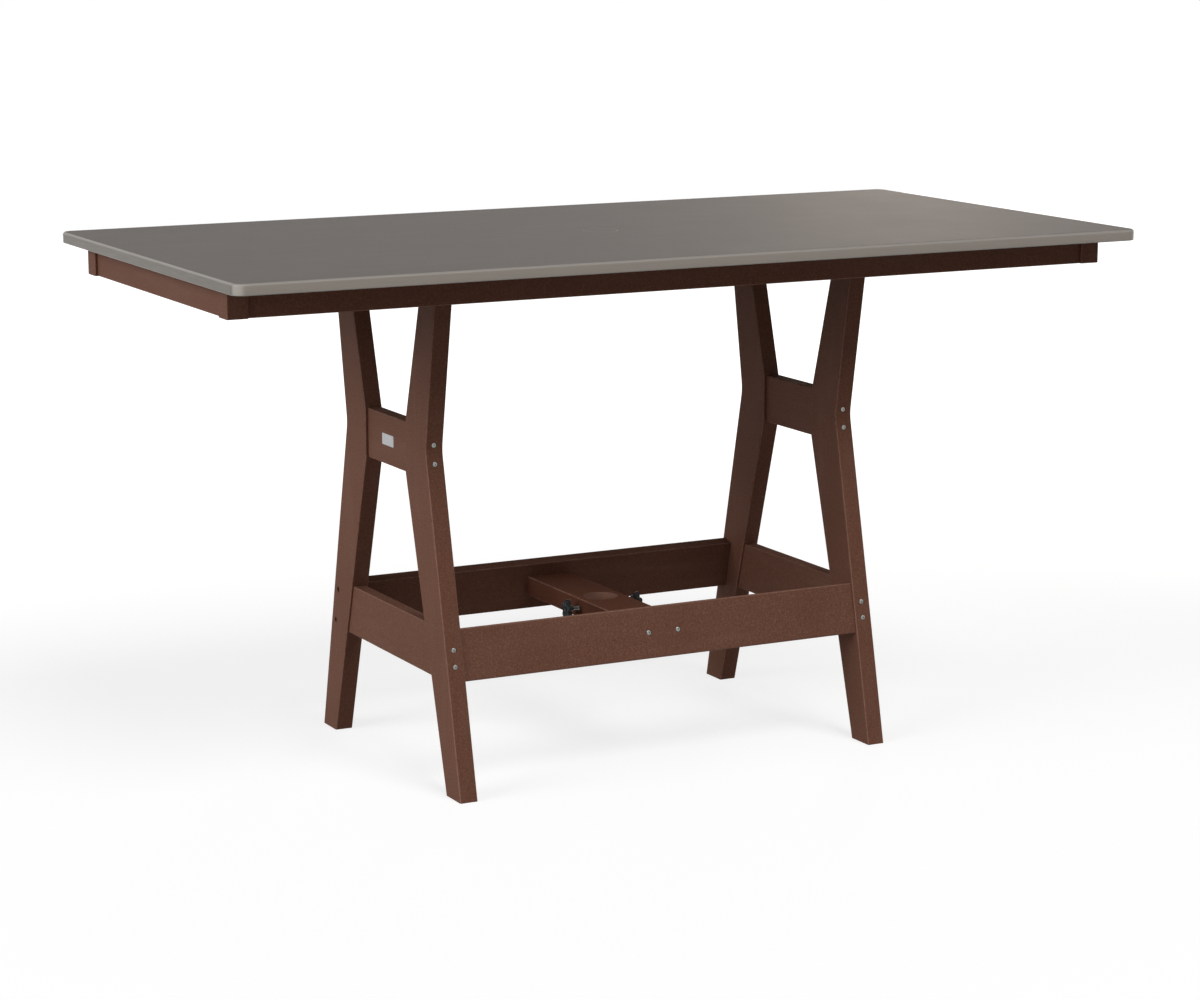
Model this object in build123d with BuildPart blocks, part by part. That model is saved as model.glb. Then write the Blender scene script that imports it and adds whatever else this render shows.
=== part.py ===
from build123d import *
import math
import os

# A bar-height garden table of solid polymer boards: a sheet top on an apron frame, two bent-leg
# end frames, two sloping long stretchers, and a board between them that clamps an umbrella pole.
# Millimetres. +X runs along the table, +Y across it, +Z up. The origin is on the floor, under the
# middle of the top. "Front" is -Y and "left" is -X.

# Tabletop
top_length = 1829.0
top_width = 914.0
top_thickness = 21.0
table_height = 984.0
top_corner_radius = 22.0
top_edge_radius = 5.0
bottom_edge_radius = 2.0

# Umbrella hole in the top and its flush plug
pole_hole_radius = 30.0
plug_seat_radius = 33.0
plug_thickness = 10.0
plug_play = 0.3
plug_edge_chamfer = 0.8

# Apron frame under the top
apron_height = 51.5
apron_thickness = 25.4
apron_recess = 5.8
post_width = 40.0
post_end_overhang = 21.5
post_side_overhang = 96.0
post_foot_chamfer = 1.2

# Bent legs, given half-way across the table as distances from its middle line
frame_spread = 900.6
leg_thickness = 34.9
foot_outer = 319.3
foot_inner = 257.9
knee_outer = 180.1
knee_outer_height = 624.0
knee_outer_radius = 75.0
knee_seat = 91.5
knee_seat_height = 616.0
leg_top_outer = 238.7
leg_top_inner = 177.7

# Boards between the legs
board_thickness = 25.4
knee_brace_width = 94.0
knee_brace_setback = 6.3
end_stretcher_width = 96.0
end_stretcher_height = 256.5
stretcher_width = 96.5
stretcher_thickness = 28.6
stretcher_height = 255.0
stretcher_recess = 5.0
arris_radius = 2.5

# Umbrella bracket and its two clamp screws
bracket_width = 95.0
bracket_thickness = 38.5
pole_bore_radius = 32.0
insert_radius = 5.0
insert_length = 14.0
insert_play = 0.02
stud_radius = 3.175
stud_play = 0.05
stud_nose_play = 0.3
stud_nose_chamfer = 0.8
stud_length = 38.4
stud_grip = 6.0
stud_end_play = 0.3
left_tip_shy = 0.6
right_tip_shy = 7.1
knob_core_radius = 12.6
knob_lobe_radius = 5.7
knob_lobe_circle = 13.4
knob_lobes = 5
knob_thickness = 10.0
knob_edge_chamfer = 1.3
knob_valley_radius = 2.2
knob_boss_radius = 8.0
knob_boss_height = 2.0

# Screws and dowels
head_radius = 5.0
head_depth = 3.0
head_sink = 0.6
shank_radius = 2.4
screw_play = 0.05
leg_screw_bite = 24.0
knee_screw_pitch = 35.0
end_screw_pitch = 30.0
end_screw_height = 254.0
bracket_screw_pitch = 62.0
bracket_screw_bite = 28.0
back_screw_pitch = 64.0
back_screw_sink = 9.0
back_screw_bite = 32.0
rail_screw_pitch = 30.0
rail_screw_bite = 20.0
top_screw_bite = 12.0
rail_end_margin = 44.8
dowel_radius = 4.0
dowel_half = 16.0
dowel_play = 0.02

# Bare plate on the left knee brace
plate_length = 51.0
plate_height = 21.5
plate_thickness = 0.8
plate_corner_radius = 1.5

# Places worked out from the sizes above
underside = table_height - top_thickness
apron_bottom = underside - apron_height
post_x = top_length / 2 - post_end_overhang
post_y = top_width / 2 - post_side_overhang
apron_face_x = post_x - apron_recess
apron_face_y = post_y - apron_recess
apron_mid = apron_bottom + apron_height / 2
leg_face = frame_spread / 2
leg_back = leg_face - leg_thickness
leg_mid = leg_face - leg_thickness / 2
rail_face = leg_back - apron_thickness
rail_half_length = apron_face_y - apron_thickness
rail_top_screw_reach = rail_half_length - rail_end_margin
brace_low = knee_seat_height - knee_brace_width / 2
brace_high = knee_seat_height + knee_brace_width / 2
slope = math.atan2(foot_outer - knee_outer, knee_outer_height)
sides = {"left": -1, "right": 1}
faces = {"front": -1, "back": 1}
from_seat = (Align.CENTER, Align.CENTER, Align.MAX)


def between(low, high, z):
    """Distance from the middle line, at height z, of a straight edge through two points."""
    (low_y, low_z), (high_y, high_z) = low, high
    return low_y + (high_y - low_y) * (z - low_z) / (high_z - low_z)


def outer_edge(z):
    """The legs' outer edge below the knee."""
    return between((foot_outer, 0), (knee_outer, knee_outer_height), z)


def outer_edge_above(z):
    """The legs' outer edge above the knee."""
    return between((knee_outer, knee_outer_height), (leg_top_outer, underside), z)


def inner_edge(z):
    """The legs' inner edge: sloping, but upright where the knee brace seats on it."""
    if z < brace_low:
        return between((foot_inner, 0), (knee_seat, brace_low), z)
    if z > brace_high:
        return between((knee_seat, brace_high), (leg_top_inner, underside), z)
    return knee_seat


def stretcher_middle(z):
    """The middle plane of a long stretcher."""
    return outer_edge(z) - (stretcher_recess + stretcher_thickness / 2) / math.cos(slope)


def stretcher_inside(z):
    """The inner face of a long stretcher."""
    return outer_edge(z) - (stretcher_recess + stretcher_thickness) / math.cos(slope)


# Each screw seat is a plane whose origin is the middle of the head's outer face and whose
# normal points out of the wood. Pieces that share a joint are bored from the same seats.
def leg_seats(heights, side, face):
    """Seats on a leg's outer edge, for screws that run along Y into the board behind it."""
    seats = []
    for z in heights:
        edge = outer_edge(z) if z < knee_outer_height else outer_edge_above(z)
        seat = (side * leg_mid, face * (edge - head_sink), z)
        seats.append(Plane(origin=seat, x_dir=(1, 0, 0), z_dir=(0, face, 0)))
    return seats


knee_heights = [knee_seat_height + step * knee_screw_pitch / 2 for step in (-1, 1)]
end_heights = [end_screw_height + step * end_screw_pitch / 2 for step in (-1, 1)]
knee_screw_length = knee_outer - knee_seat + leg_screw_bite
end_screw_length = outer_edge(end_screw_height) - inner_edge(end_screw_height) + leg_screw_bite
bracket_screw_length = stretcher_thickness + bracket_screw_bite
back_screw_length = leg_thickness - back_screw_sink + back_screw_bite
rail_screw_length = apron_thickness + rail_screw_bite
top_screw_length = apron_height + top_screw_bite


def bracket_seats(face):
    """Seats on a long stretcher's sloping outer face, square to that face."""
    normal = (0, face * math.cos(slope), math.sin(slope))
    out = stretcher_thickness / 2 - head_sink
    y = stretcher_middle(stretcher_height) + out * math.cos(slope)
    z = stretcher_height + out * math.sin(slope)
    seats = []
    for step in (-1, 1):
        seat = (step * bracket_screw_pitch / 2, face * y, z)
        seats.append(Plane(origin=seat, x_dir=(1, 0, 0), z_dir=normal))
    return seats


def stretcher_end_points(pitch):
    """Two places, as distance from the middle line and height, on a long stretcher's middle plane."""
    heights = [stretcher_height + step * pitch / 2 * math.cos(slope) for step in (-1, 1)]
    return [(stretcher_middle(z), z) for z in heights]


def back_leg_seats(side):
    """Deep seats on a back leg's outside, for screws that run along X into the back stretcher."""
    x = side * (leg_face - back_screw_sink)
    seats = []
    for y, z in stretcher_end_points(back_screw_pitch):
        seats.append(Plane(origin=(x, y, z), x_dir=(0, 1, 0), z_dir=(side, 0, 0)))
    return seats


def rail_seats(side, face):
    """Seats on a cross rail's inside, for screws that run along X into the top of a leg."""
    middle = face * (outer_edge_above(apron_mid) + inner_edge(apron_mid)) / 2
    x = side * (rail_face + head_sink)
    seats = []
    for step in (-1, 1):
        seat = (x, middle + step * rail_screw_pitch / 2, apron_mid)
        seats.append(Plane(origin=seat, x_dir=(0, 1, 0), z_dir=(-side, 0, 0)))
    return seats


def upward_seats(places):
    """Seats on the frame's underside, for screws that run up into the top."""
    z = apron_bottom + head_sink
    return [Plane(origin=(x, y, z), x_dir=(1, 0, 0), z_dir=(0, 0, -1)) for x, y in places]


def rail_top_seats(side):
    middle = side * (rail_face + apron_thickness / 2)
    return upward_seats([(middle, step * rail_top_screw_reach) for step in (-1, 0, 1)])


def post_seat(side, face):
    return upward_seats([(side * (post_x - post_width / 2), face * (post_y - post_width / 2))])


def bore_for_screws(seats, length):
    """Cuts the holes for screws in the piece that is being made."""
    cover = head_sink + back_screw_sink
    with Locations(*[seat.offset(cover) for seat in seats]):
        Cylinder(
            head_radius + screw_play,
            cover + head_depth + screw_play,
            align=from_seat,
            mode=Mode.SUBTRACT,
        )
    with Locations(*seats):
        Cylinder(shank_radius + screw_play, length + screw_play, align=from_seat, mode=Mode.SUBTRACT)


def drive_screws(seats, length):
    """Adds pan-head screws to the group that is being made."""
    with Locations(*seats):
        Cylinder(head_radius, head_depth, align=from_seat)
        Cylinder(shank_radius, length, align=from_seat)


def dowel_planes(places, direction):
    """Planes across the middle of hidden dowels that lie along one axis."""
    across = (0, 0, 1)
    return [Plane(origin=place, x_dir=across, z_dir=direction) for place in places]


def bore_for_dowels(planes):
    with Locations(*planes):
        Cylinder(dowel_radius + dowel_play, 2 * (dowel_half + dowel_play), mode=Mode.SUBTRACT)


def add_dowels(planes):
    with Locations(*planes):
        Cylinder(dowel_radius, 2 * dowel_half)


def stretcher_dowels(side):
    """Dowels between a front leg's inside and the front stretcher's end."""
    points = stretcher_end_points(back_screw_pitch)
    return dowel_planes([(side * leg_back, -y, z) for y, z in points], (1, 0, 0))


def long_apron_dowel(side, face):
    x = side * (post_x - post_width)
    y = face * (apron_face_y - apron_thickness / 2)
    return dowel_planes([(x, y, apron_mid)], (1, 0, 0))


def end_apron_dowel(side, face):
    x = side * (apron_face_x - apron_thickness / 2)
    y = face * (post_y - post_width)
    return dowel_planes([(x, y, apron_mid)], (0, 1, 0))


def save(piece, name):
    piece.part.label = name
    export_step(piece.part, f"parts/{name}.step")


os.makedirs("parts", exist_ok=True)

# Tabletop: one sheet with rounded corners and edges, and a stepped umbrella hole in its middle
with BuildPart() as tabletop:
    with BuildSketch(Plane.XY.offset(underside)):
        RectangleRounded(top_length, top_width, top_corner_radius)
    extrude(amount=top_thickness)
    fillet(tabletop.faces().sort_by(Axis.Z)[-1].edges(), top_edge_radius)
    fillet(tabletop.faces().sort_by(Axis.Z)[0].edges(), bottom_edge_radius)
    with Locations((0, 0, table_height)):
        CounterBoreHole(pole_hole_radius, plug_seat_radius, plug_thickness)
    for side in sides.values():
        bore_for_screws(rail_top_seats(side), top_screw_length)
        for face in faces.values():
            bore_for_screws(post_seat(side, face), top_screw_length)
save(tabletop, "tabletop")

# Plug that closes the umbrella hole, flush with the top
with BuildPart() as hole_plug:
    with BuildSketch(Plane.XY.offset(table_height - plug_thickness)):
        Circle(plug_seat_radius - plug_play)
    extrude(amount=plug_thickness)
    chamfer(hole_plug.edges().group_by(Axis.Z)[-1], plug_edge_chamfer)
save(hole_plug, "hole_plug")

# Long aprons, between the corner posts
for face_name, face in faces.items():
    with BuildPart() as long_apron:
        with BuildSketch(Plane.XY.offset(apron_bottom)):
            with Locations((0, face * (apron_face_y - apron_thickness / 2))):
                Rectangle(2 * (post_x - post_width), apron_thickness)
        extrude(amount=apron_height)
        fillet(long_apron.edges().filter_by(Axis.X).group_by(Axis.Z)[0], arris_radius)
        for side in sides.values():
            bore_for_dowels(long_apron_dowel(side, face))
    save(long_apron, f"{face_name}_apron")

# End aprons, cross rails that carry the legs, and everything that comes once at each end
for side_name, side in sides.items():
    with BuildPart() as end_apron:
        with BuildSketch(Plane.XY.offset(apron_bottom)):
            with Locations((side * (apron_face_x - apron_thickness / 2), 0)):
                Rectangle(apron_thickness, 2 * (post_y - post_width))
        extrude(amount=apron_height)
        fillet(end_apron.edges().filter_by(Axis.Y).group_by(Axis.Z)[0], arris_radius)
        for face in faces.values():
            bore_for_dowels(end_apron_dowel(side, face))
    save(end_apron, f"{side_name}_end_apron")

    with BuildPart() as cross_rail:
        with BuildSketch(Plane.XY.offset(apron_bottom)):
            with Locations((side * (rail_face + apron_thickness / 2), 0)):
                Rectangle(apron_thickness, 2 * rail_half_length)
        extrude(amount=apron_height)
        fillet(cross_rail.edges().filter_by(Axis.Y).group_by(Axis.Z)[0], arris_radius)
        bore_for_screws(rail_top_seats(side), top_screw_length)
        for face in faces.values():
            bore_for_screws(rail_seats(side, face), rail_screw_length)
    save(cross_rail, f"{side_name}_cross_rail")

    # Knee brace, between the upright seats on the legs: set back on its left, flush on its right
    brace_left = side * leg_mid - leg_thickness / 2 + knee_brace_setback
    with BuildPart() as knee_brace:
        with BuildSketch(Plane.YZ.offset(brace_left)):
            with Locations((0, knee_seat_height)):
                Rectangle(2 * knee_seat, knee_brace_width)
        extrude(amount=leg_thickness - knee_brace_setback)
        fillet(knee_brace.edges().filter_by(Axis.Y), arris_radius)
        for face in faces.values():
            bore_for_screws(leg_seats(knee_heights, side, face), knee_screw_length)
    save(knee_brace, f"{side_name}_knee_brace")

    # End stretcher, low between the legs
    end_left = side * leg_mid - board_thickness / 2
    end_low = end_stretcher_height - end_stretcher_width / 2
    end_high = end_stretcher_height + end_stretcher_width / 2
    with BuildPart() as end_stretcher:
        with BuildSketch(Plane.YZ.offset(end_left)):
            with BuildLine():
                Polyline(
                    (-inner_edge(end_low), end_low),
                    (inner_edge(end_low), end_low),
                    (inner_edge(end_high), end_high),
                    (-inner_edge(end_high), end_high),
                    close=True,
                )
            make_face()
        extrude(amount=board_thickness)
        fillet(end_stretcher.edges().filter_by(Axis.Y), arris_radius)
        for face in faces.values():
            bore_for_screws(leg_seats(end_heights, side, face), end_screw_length)
    save(end_stretcher, f"{side_name}_end_stretcher")

    for face_name, face in faces.items():
        # Corner post, a little proud of the two aprons that end in it
        with BuildPart() as corner_post:
            with BuildSketch(Plane.XY.offset(apron_bottom)):
                with Locations((side * (post_x - post_width / 2), face * (post_y - post_width / 2))):
                    Rectangle(post_width, post_width)
            extrude(amount=apron_height)
            fillet(corner_post.edges().filter_by(Axis.Z), arris_radius)
            chamfer(corner_post.faces().sort_by(Axis.Z)[0].edges(), post_foot_chamfer)
            bore_for_dowels(long_apron_dowel(side, face))
            bore_for_dowels(end_apron_dowel(side, face))
            bore_for_screws(post_seat(side, face), top_screw_length)
        save(corner_post, f"{face_name}_{side_name}_corner_post")

        # Leg, bent at the knee, with a rounded waist outside and a seat for the brace inside
        outer_knee = (face * knee_outer, knee_outer_height)
        with BuildPart() as leg:
            with BuildSketch(Plane.YZ.offset(side * leg_mid - leg_thickness / 2)) as leg_outline:
                with BuildLine():
                    Polyline(
                        (face * foot_outer, 0),
                        outer_knee,
                        (face * leg_top_outer, underside),
                        (face * leg_top_inner, underside),
                        (face * knee_seat, brace_high),
                        (face * knee_seat, brace_low),
                        (face * foot_inner, 0),
                        close=True,
                    )
                make_face()
                fillet(leg_outline.vertices().sort_by_distance(outer_knee)[0], knee_outer_radius)
            extrude(amount=leg_thickness)
            flat_ends = leg.edges().filter_by(Axis.Y)
            fillet(leg.edges().filter_by(Plane.YZ) - flat_ends, arris_radius)
            bore_for_screws(leg_seats(knee_heights, side, face), knee_screw_length)
            bore_for_screws(leg_seats(end_heights, side, face), end_screw_length)
            bore_for_screws(rail_seats(side, face), rail_screw_length)
            if face == faces["back"]:
                bore_for_screws(back_leg_seats(side), back_screw_length)
            else:
                bore_for_dowels(stretcher_dowels(side))
        save(leg, f"{face_name}_{side_name}_leg")

# Long stretchers, leaning with the legs' lower halves
for face_name, face in faces.items():
    with BuildPart() as stretcher:
        with BuildSketch(Plane.YZ.offset(-leg_back)):
            with Locations((face * stretcher_middle(stretcher_height), stretcher_height)):
                Rectangle(stretcher_thickness, stretcher_width, rotation=face * math.degrees(slope))
        extrude(amount=2 * leg_back)
        fillet(stretcher.edges().filter_by(Axis.X), arris_radius)
        bore_for_screws(bracket_seats(face), bracket_screw_length)
        for side in sides.values():
            if face == faces["back"]:
                bore_for_screws(back_leg_seats(side), back_screw_length)
            else:
                bore_for_dowels(stretcher_dowels(side))
    save(stretcher, f"{face_name}_stretcher")

# Umbrella bracket: a thick board between the stretchers, bored for the pole
bracket_low = stretcher_height - bracket_thickness / 2
bracket_high = stretcher_height + bracket_thickness / 2
bracket_side = bracket_width / 2
with BuildPart() as umbrella_bracket:
    with BuildSketch(Plane.YZ.offset(-bracket_side)):
        with BuildLine():
            Polyline(
                (-stretcher_inside(bracket_low), bracket_low),
                (stretcher_inside(bracket_low), bracket_low),
                (stretcher_inside(bracket_high), bracket_high),
                (-stretcher_inside(bracket_high), bracket_high),
                close=True,
            )
        make_face()
    extrude(amount=bracket_width)
    fillet(umbrella_bracket.edges().filter_by(Axis.Y), arris_radius)
    with Locations((0, 0, bracket_high)):
        Hole(pole_bore_radius)
    with BuildSketch(Plane.YZ.offset(-bracket_side)):
        with Locations((0, stretcher_height)):
            Circle(stud_radius + stud_nose_play)
    extrude(amount=bracket_width, mode=Mode.SUBTRACT)
    for side in sides.values():
        with BuildSketch(Plane.YZ.offset(side * bracket_side)):
            with Locations((0, stretcher_height)):
                Circle(insert_radius + insert_play)
        extrude(amount=-side * insert_length, mode=Mode.SUBTRACT)
    for face in faces.values():
        bore_for_screws(bracket_seats(face), bracket_screw_length)
save(umbrella_bracket, "umbrella_bracket")

# Clamp screws: a threaded insert in each wall of the bracket, a stud through it, and a lobed knob
tip_shy = {"left": left_tip_shy, "right": right_tip_shy}
for side_name, side in sides.items():
    outward = Plane(origin=(0, 0, stretcher_height), x_dir=(0, 0, 1), z_dir=(side, 0, 0))
    tip = pole_bore_radius + tip_shy[side_name]
    knob_face = tip + stud_length - stud_grip

    with BuildPart() as thread_insert:
        with BuildSketch(outward.offset(bracket_side - insert_length)):
            Circle(insert_radius)
            Circle(stud_radius + stud_play, mode=Mode.SUBTRACT)
        extrude(amount=insert_length)
    save(thread_insert, f"{side_name}_thread_insert")

    with BuildPart() as clamp_stud:
        with BuildSketch(outward.offset(tip)):
            Circle(stud_radius)
        extrude(amount=stud_length)
        ends = clamp_stud.edges().sort_by(Axis.X)
        chamfer(ends[0] if side > 0 else ends[-1], stud_nose_chamfer)
    save(clamp_stud, f"{side_name}_clamp_stud")

    with BuildPart() as clamp_knob:
        with BuildSketch(outward.offset(knob_face + knob_boss_height)) as star:
            Circle(knob_core_radius)
            with PolarLocations(knob_lobe_circle, knob_lobes):
                Circle(knob_lobe_radius)
            fillet(star.vertices(), knob_valley_radius)
        extrude(amount=knob_thickness)
        rims = clamp_knob.faces().filter_by(Axis.X)
        chamfer(rims.edges(), knob_edge_chamfer)
        with BuildSketch(outward.offset(knob_face)):
            Circle(knob_boss_radius)
        extrude(amount=knob_boss_height)
        with BuildSketch(outward.offset(knob_face)):
            Circle(stud_radius + stud_play)
        extrude(amount=stud_grip + stud_end_play, mode=Mode.SUBTRACT)
    save(clamp_knob, f"{side_name}_clamp_knob")

# Screws, one group for each use
with BuildPart() as knee_screws:
    for side in sides.values():
        for face in faces.values():
            drive_screws(leg_seats(knee_heights, side, face), knee_screw_length)
save(knee_screws, "knee_screws")

with BuildPart() as end_stretcher_screws:
    for side in sides.values():
        for face in faces.values():
            drive_screws(leg_seats(end_heights, side, face), end_screw_length)
save(end_stretcher_screws, "end_stretcher_screws")

with BuildPart() as leg_top_screws:
    for side in sides.values():
        for face in faces.values():
            drive_screws(rail_seats(side, face), rail_screw_length)
save(leg_top_screws, "leg_top_screws")

with BuildPart() as back_stretcher_screws:
    for side in sides.values():
        drive_screws(back_leg_seats(side), back_screw_length)
save(back_stretcher_screws, "back_stretcher_screws")

with BuildPart() as bracket_screws:
    for face in faces.values():
        drive_screws(bracket_seats(face), bracket_screw_length)
save(bracket_screws, "bracket_screws")

with BuildPart() as top_screws:
    for side in sides.values():
        drive_screws(rail_top_seats(side), top_screw_length)
        for face in faces.values():
            drive_screws(post_seat(side, face), top_screw_length)
save(top_screws, "top_screws")

# Hidden dowels
with BuildPart() as front_stretcher_dowels:
    for side in sides.values():
        add_dowels(stretcher_dowels(side))
save(front_stretcher_dowels, "front_stretcher_dowels")

with BuildPart() as apron_dowels:
    for side in sides.values():
        for face in faces.values():
            add_dowels(long_apron_dowel(side, face))
            add_dowels(end_apron_dowel(side, face))
save(apron_dowels, "apron_dowels")

# Bare metal plate on the outside of the left knee brace
plate_face = leg_face - knee_brace_setback
with BuildPart() as bare_plate:
    with BuildSketch(Plane.YZ.offset(-plate_face)):
        with Locations((0, knee_seat_height)):
            RectangleRounded(plate_length, plate_height, plate_corner_radius)
    extrude(amount=-plate_thickness)
save(bare_plate, "bare_plate")
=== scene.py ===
import math

import bmesh
import bpy
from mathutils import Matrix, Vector


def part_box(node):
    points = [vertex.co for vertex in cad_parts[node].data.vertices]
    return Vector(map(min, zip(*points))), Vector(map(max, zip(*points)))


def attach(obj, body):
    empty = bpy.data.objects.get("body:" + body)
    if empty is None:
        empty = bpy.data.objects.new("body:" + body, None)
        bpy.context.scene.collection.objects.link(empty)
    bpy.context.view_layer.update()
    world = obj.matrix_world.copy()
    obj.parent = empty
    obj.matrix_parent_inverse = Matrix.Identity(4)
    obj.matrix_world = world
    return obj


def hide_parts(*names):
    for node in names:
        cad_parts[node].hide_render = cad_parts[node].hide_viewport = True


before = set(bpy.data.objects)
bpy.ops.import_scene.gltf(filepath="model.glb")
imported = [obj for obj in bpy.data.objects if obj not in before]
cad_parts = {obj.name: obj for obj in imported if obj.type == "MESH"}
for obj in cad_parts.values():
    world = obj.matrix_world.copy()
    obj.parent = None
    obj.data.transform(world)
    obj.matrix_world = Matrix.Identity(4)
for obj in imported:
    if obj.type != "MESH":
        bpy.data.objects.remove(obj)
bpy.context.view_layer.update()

# A bar-height garden table: taupe sheet top on a brown polymer-board base, with an umbrella clamp.
# Metres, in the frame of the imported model: +X along the table, +Y towards the back, +Z up.
along_table = Vector((1.0, 0.0, 0.0))
across_table = Vector((0.0, 1.0, 0.0))
straight_up = Vector((0.0, 0.0, 1.0))

# Colours, as linear values
board_brown = (0.150, 0.0635, 0.0402, 1.0)
board_light = (0.222, 0.1203, 0.0898, 1.0)
board_dark = (0.100, 0.0398, 0.0246, 1.0)
board_tones = (board_brown, board_light, board_dark)
# The bracket's tones: the board's browns made deeper, painted shade for the shadow under the top
shaded_bracket_brown = (0.102, 0.0382, 0.0228, 1.0)
shaded_bracket_light = (0.140, 0.062, 0.042, 1.0)
shaded_bracket_dark = (0.069, 0.0244, 0.0147, 1.0)
shaded_bracket_tones = (shaded_bracket_brown, shaded_bracket_light, shaded_bracket_dark)
# The back stretcher's tones: the board's browns made deeper, painted shade for the dark under the table
shaded_rear_brown = (0.126, 0.0535, 0.0340, 1.0)
shaded_rear_light = (0.186, 0.100, 0.075, 1.0)
shaded_rear_dark = (0.084, 0.0335, 0.0210, 1.0)
shaded_rear_tones = (shaded_rear_brown, shaded_rear_light, shaded_rear_dark)
# Paler brown: on the board arrises partly real wear and partly painted highlight, on the pole bore's wall
# painted light
pale_wear_and_light_brown = (0.290, 0.158, 0.118, 1.0)
sheet_taupe = (0.134, 0.1202, 0.1110, 1.0)
sheet_light = (0.205, 0.188, 0.172, 1.0)
sheet_dark = (0.104, 0.094, 0.088, 1.0)
# The sheet's cut edges: the long edges painted lighter and the ends darker, painted light and shade
sheet_cut_long_painted_light = (0.342, 0.304, 0.268, 1.0)
sheet_cut_end_painted_shade = (0.164, 0.145, 0.127, 1.0)
# Paler rounded corners of the cut edge, a painted highlight
sheet_corner_painted_highlight = (0.430, 0.396, 0.358, 1.0)
# Paler tone of the tool lines, and of the rounded top arris as a painted highlight
sheet_pale_lines_and_highlight = (0.420, 0.388, 0.352, 1.0)
knob_black = (0.007, 0.0078, 0.0085, 1.0)
knob_scuff = (0.020, 0.0215, 0.0225, 1.0)
steel_grey = (0.290, 0.302, 0.290, 1.0)
steel_stain = (0.150, 0.154, 0.147, 1.0)
stud_grey = (0.180, 0.187, 0.182, 1.0)
stud_stain = (0.085, 0.088, 0.085, 1.0)
# Steel made dark for the back stretcher's screws, painted shade for their counterbores
shaded_screw_grey = (0.060, 0.055, 0.052, 1.0)
shaded_screw_stain = (0.030, 0.026, 0.024, 1.0)
brass_dull = (0.190, 0.155, 0.098, 1.0)
brass_brown = (0.085, 0.064, 0.036, 1.0)
plate_silver = (0.385, 0.385, 0.395, 1.0)
plate_shade = (0.270, 0.270, 0.278, 1.0)
floor_pale = (0.300, 0.300, 0.300, 1.0)
floor_bounce = (0.310, 0.303, 0.295, 1.0)
white = (1.0, 1.0, 1.0, 1.0)

# Scales of the finishes, in features to the metre
board_fleck_scale = 320.0
sheet_fleck_scale = 520.0
streak_scale = 26.0
cloud_scale = 5.5
rub_scale = 90.0
haze_scale = 9.0
stain_scale = 260.0
moulding_scale = 2400.0

# Middle of every noise, which runs from zero to one
noise_middle = 0.5

# Stretch of the streaks and tool lines to the metre, on each axis
grain_along_x = (0.10, 1.0, 1.0)
grain_along_y = (1.0, 0.10, 1.0)
grain_upright = (1.0, 1.0, 0.10)
sheet_grain = (0.25, 1.0, 1.0)
sheet_cut_lines = (14.0, 14.0, 1100.0)
screw_lines = (300.0, 300.0, 300.0)
stud_lines = (40.0, 900.0, 900.0)
insert_lines = (900.0, 60.0, 60.0)
plate_lines = (60.0, 60.0, 2600.0)

# Sizes of the clamp's studs and knobs
thread_pitch = 0.00127
thread_depth = 0.00062
thread_samples = 8
thread_flank_gain = 1.3
thread_crest_share = 0.15
stud_sides = 28
stud_nose = 0.0008
knob_lobes = 5
knob_sides_per_lobe = 18
knob_outline_middle = 0.0159
knob_outline_swing = 0.0034
knob_outline_squeeze = 0.0004
knob_bore_clearance = 0.00005
knob_bore_depth = 0.0063
knob_bore_chamfer = 0.0003
knob_boss_radius = 0.008
knob_boss_height = 0.002
knob_boss_chamfer = 0.0004
knob_edge_radius = 0.0024
knob_edge_steps = 6
knob_lip_inset = 0.0050
knob_lip_lobe_share = 0.75
knob_lip_drop = 0.0001
knob_dish_radius = 0.0078
knob_dish_drop = 0.0006
knob_groove_outer_radius = 0.0066
knob_groove_inner_radius = 0.0062
knob_groove_drop = 0.0011
knob_cap_radius = 0.0060
knob_cap_drop = 0.0004
knob_cap_shoulder_radius = 0.0054
knob_cap_shoulder_drop = 0.0001
knob_cap_flat_radius = 0.0030

# Sizes of the screws; the head's curve gives shares of its radius and drops from its face
screw_sides = 32
screw_tip_share = 0.35
screw_tip_length = 0.006
screw_head_depth = 0.003
screw_head_curve = ((1.0, 0.0011), (0.965, 0.0006), (0.88, 0.00025), (0.70, 0.00005), (0.52, 0.0))
screw_socket_half = 0.0017
screw_socket_corner = 0.0002
screw_socket_taper = 0.86
screw_socket_depth = 0.0019
screw_socket_dimple = 0.0003

# Sizes of the top, the bore and the plate; its rim profile gives insets in rims and rises in thicknesses
corner_steps = 18
slab_corner_radius = 0.022
slab_top_radius = 0.005
slab_bottom_radius = 0.002
slab_edge_steps = 8
slab_flat_margin = 0.004
plug_clearance = 0.0003
plug_ledge = 0.003
hole_sides = 72
pole_bore_radius = 0.032
bore_rim_start = 0.0004
bore_rim_end = 0.0016
plate_corner_radius = 0.0015
plate_rim = 0.0005
plate_rim_profile = ((0.0, 0.0), (0.0, 0.6), (0.25, 0.88), (0.6, 1.0), (1.0, 1.0), (1.7, 0.86), (2.4, 0.86))

# How meshes are read and shaded
weld_distance = 1e-6
end_tolerance = 5e-5
sharp_angle = math.radians(32)


# The stretchers lean with the legs
def broadest_side(node):
    """The way in which a board's broadest side looks."""
    return max(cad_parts[node].data.polygons, key=lambda side: side.area).normal.copy()


front_lean = broadest_side("front_stretcher")
back_lean = broadest_side("back_stretcher")


# Node tree helpers
def node_of(tree, kind, **settings):
    """A new node with its settings."""
    node = tree.nodes.new(kind)
    for key, value in settings.items():
        setattr(node, key, value)
    return node


def feed(tree, source, target):
    """Links a socket, or sets a plain value, on a target socket."""
    if isinstance(source, bpy.types.NodeSocket):
        tree.links.new(source, target)
    else:
        target.default_value = source


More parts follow.
